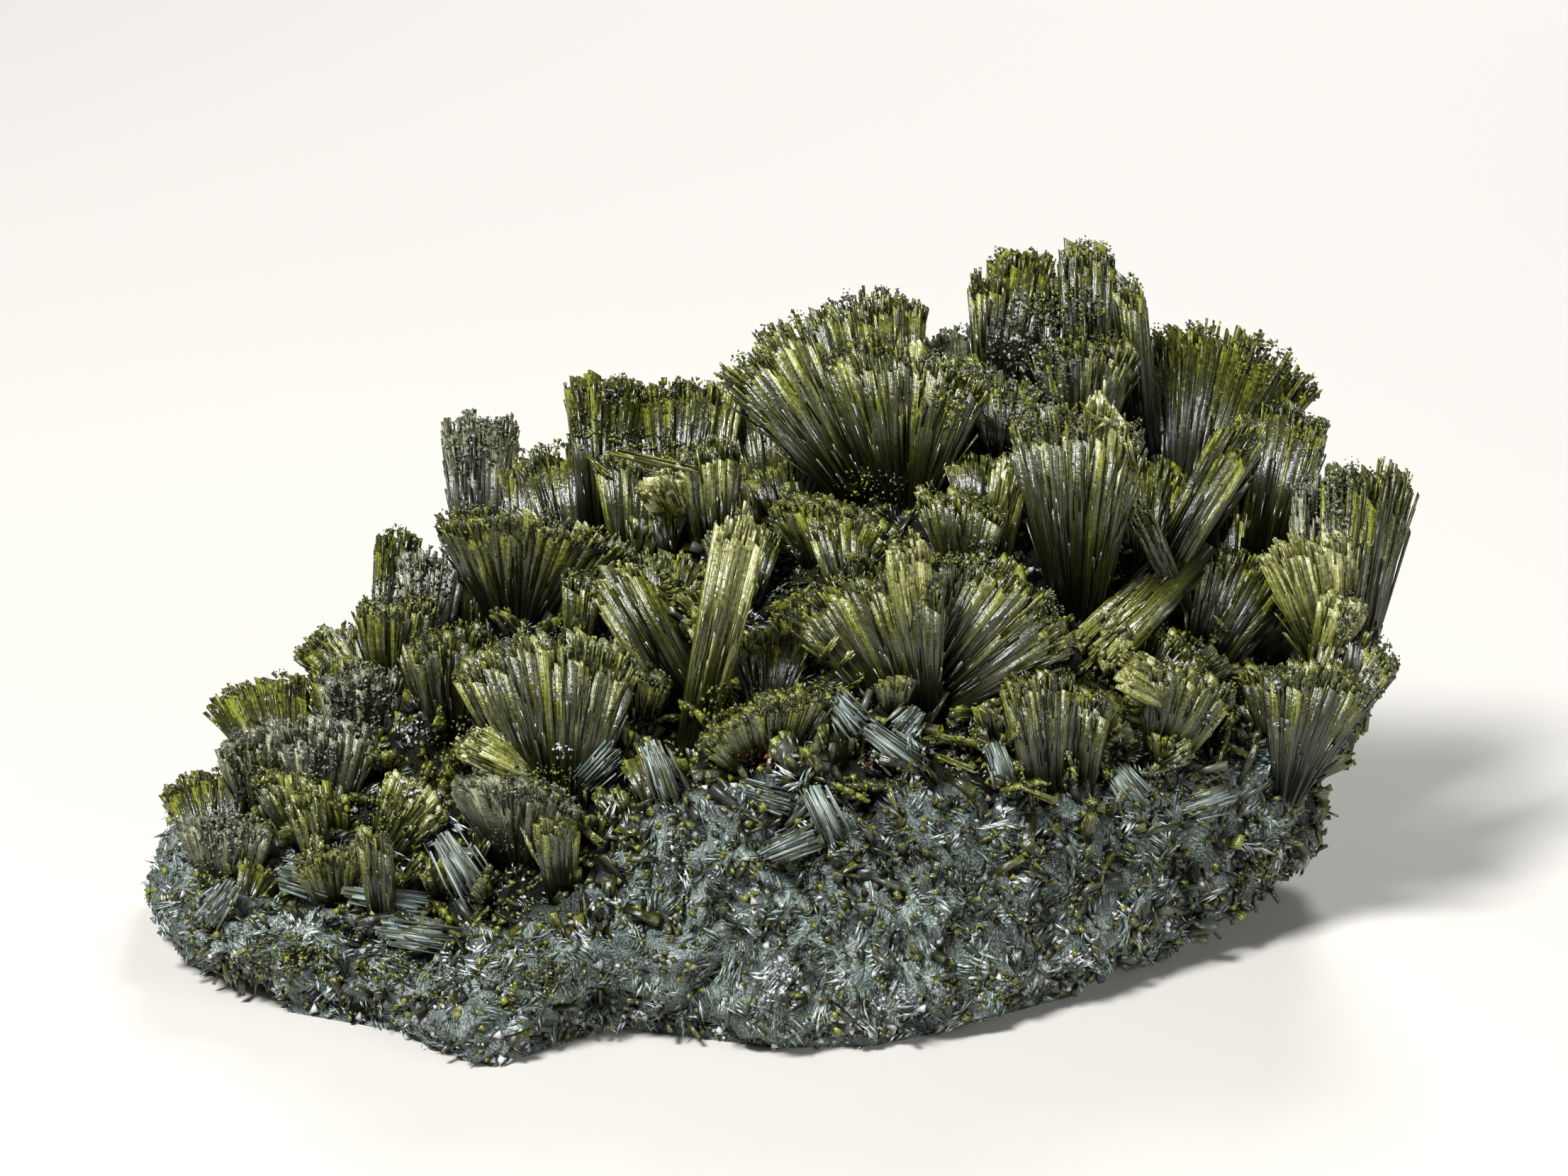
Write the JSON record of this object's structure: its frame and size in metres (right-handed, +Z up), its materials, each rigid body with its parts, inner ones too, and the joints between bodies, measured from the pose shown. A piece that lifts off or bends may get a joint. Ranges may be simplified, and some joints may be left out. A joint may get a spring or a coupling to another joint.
{
  "type": "epidote crystal cluster",
  "caption": "Mineral specimen: fluted dark-green epidote fans and pale prisms grown on a rock of matted actinolite needles, resting on a flat underside.",
  "frame": {"origin": "on the flat resting face, below the middle of the front view", "axes": "+X along the specimen's length to the viewer's right, -Y towards the viewer, +Z up away from the resting face"},
  "size_m": [0.0809, 0.0468, 0.0434],
  "materials": {
    "actinolite_rock": "rough",
    "epidote": "glossy",
    "pale_epidote": "glossy",
    "crusted_epidote": "satin"
  },
  "bodies": {
    "root": {"matrix_rock": "actinolite_rock", "tall_fan": "epidote", "leaning_prism": "pale_epidote", "roof_fan": "epidote", "right_end_fan": "epidote", "rightmost_fan": "epidote", "big_dark_right_fan": "epidote", "right_bundle": "epidote", "hollow_fan_right": "epidote", "front_right_fan": "epidote", "big_dark_fan": "epidote", "small_green_fan": "epidote", "little_prism": "epidote", "saddle_crust": "crusted_epidote", "canopy_fan": "epidote", "little_centre_fan": "epidote", "great_fan": "epidote", "back_ridge_wall": "crusted_epidote", "leaning_stick": "pale_epidote", "arch_fan_right": "epidote", "dark_left_fan": "epidote", "upright_blade": "epidote", "dark_long_blade": "epidote", "big_left_fan": "epidote", "big_left_fan_lobe": "epidote", "grey_topped_chunk": "crusted_epidote", "dark_column": "epidote", "back_left_lump": "crusted_epidote", "left_front_slab": "epidote", "grey_dome": "crusted_epidote", "left_chunk": "crusted_epidote", "left_lump": "crusted_epidote", "outer_chunk": "crusted_epidote", "orange_blade": "epidote", "left_low_stick": "epidote", "crusted_triangle": "epidote", "striped_fan": "pale_epidote", "back_fan_1": "epidote", "back_fan_2": "epidote", "back_fan_3": "epidote", "back_fan_4": "epidote", "back_fan_5": "epidote", "back_fan_7": "epidote", "back_fan_8": "epidote", "back_fan_9": "epidote", "back_fan_13": "epidote", "low_back_fan_1": "epidote", "low_back_fan_2": "epidote", "low_back_fan_3": "epidote", "low_back_fan_4": "epidote", "hollow_fan_centre": "epidote"}
  },
  "joints": []
}
